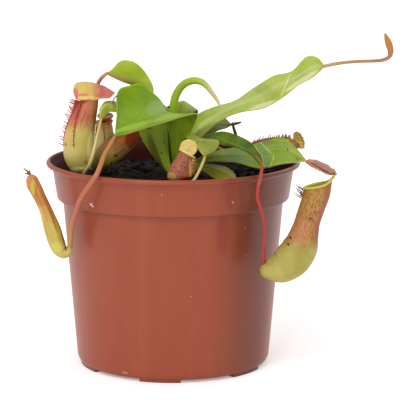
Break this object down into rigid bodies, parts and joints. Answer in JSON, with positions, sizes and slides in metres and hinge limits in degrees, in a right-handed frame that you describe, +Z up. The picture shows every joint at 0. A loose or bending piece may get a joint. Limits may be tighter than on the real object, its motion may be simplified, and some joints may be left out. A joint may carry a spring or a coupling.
{
  "type": "potted pitcher plant",
  "caption": "Young tropical pitcher plant in a round plastic nursery pot: a rosette of strap leaves whose tips carry tendrils with hanging and standing pitchers.",
  "frame": {"origin": "centre of the pot's underside, on the plane that the pot stands on", "axes": "+Z up along the pot's axis, -Y towards the side that the picture was taken from, +X to the right of that view, along the plant's longest reach"},
  "size_m": [0.1721, 0.12, 0.1575],
  "materials": {
    "terracotta_plastic": "satin",
    "peat": "matte",
    "woody_stem": "matte",
    "leaf_green": "satin",
    "leaf_pale": "satin",
    "leaf_dark": "satin",
    "tendril_tan": "satin",
    "tendril_red": "satin",
    "tendril_yellow": "satin",
    "pitcher_red": "satin",
    "pitcher_yellow": "satin",
    "pitcher_brown": "satin"
  },
  "bodies": {
    "root": {"pot": "terracotta_plastic", "soil": "peat", "stem_with_roots": "woody_stem", "leaf_front_left": "leaf_green", "leaf_top_left": "leaf_pale", "leaf_small_left": "leaf_green", "leaf_long_right": "leaf_pale", "leaf_grey_right": "leaf_dark", "leaf_arching_right": "leaf_green", "leaf_low_right": "leaf_green", "leaf_small_front": "leaf_pale", "leaf_on_peat": "leaf_green", "leaf_back_right": "leaf_dark", "leaf_back_left": "leaf_dark", "young_leaf_rolled": "leaf_green", "tendril_left": "tendril_tan", "tendril_bud_right": "tendril_tan", "tendril_back_left": "tendril_tan", "tendril_back_right": "tendril_tan", "tendril_top_left": "tendril_red", "tendril_arching": "tendril_red", "tendril_small_left": "tendril_yellow", "tendril_small_front": "tendril_yellow", "tendril_dry": "pitcher_brown", "pitcher_front_left": "pitcher_red", "pitcher_small_front": "pitcher_red", "lid_front_left": "pitcher_red", "lid_hanging_right": "pitcher_red", "pitcher_hanging_right": "pitcher_yellow", "pitcher_closed_left": "pitcher_yellow", "lid_small_front": "pitcher_yellow", "pitcher_standing": "pitcher_brown", "pitcher_leaning": "pitcher_brown", "pitcher_lying_right": "pitcher_brown", "lid_standing": "pitcher_brown", "lid_leaning": "pitcher_brown", "lid_lying_right": "pitcher_brown"}
  },
  "joints": []
}
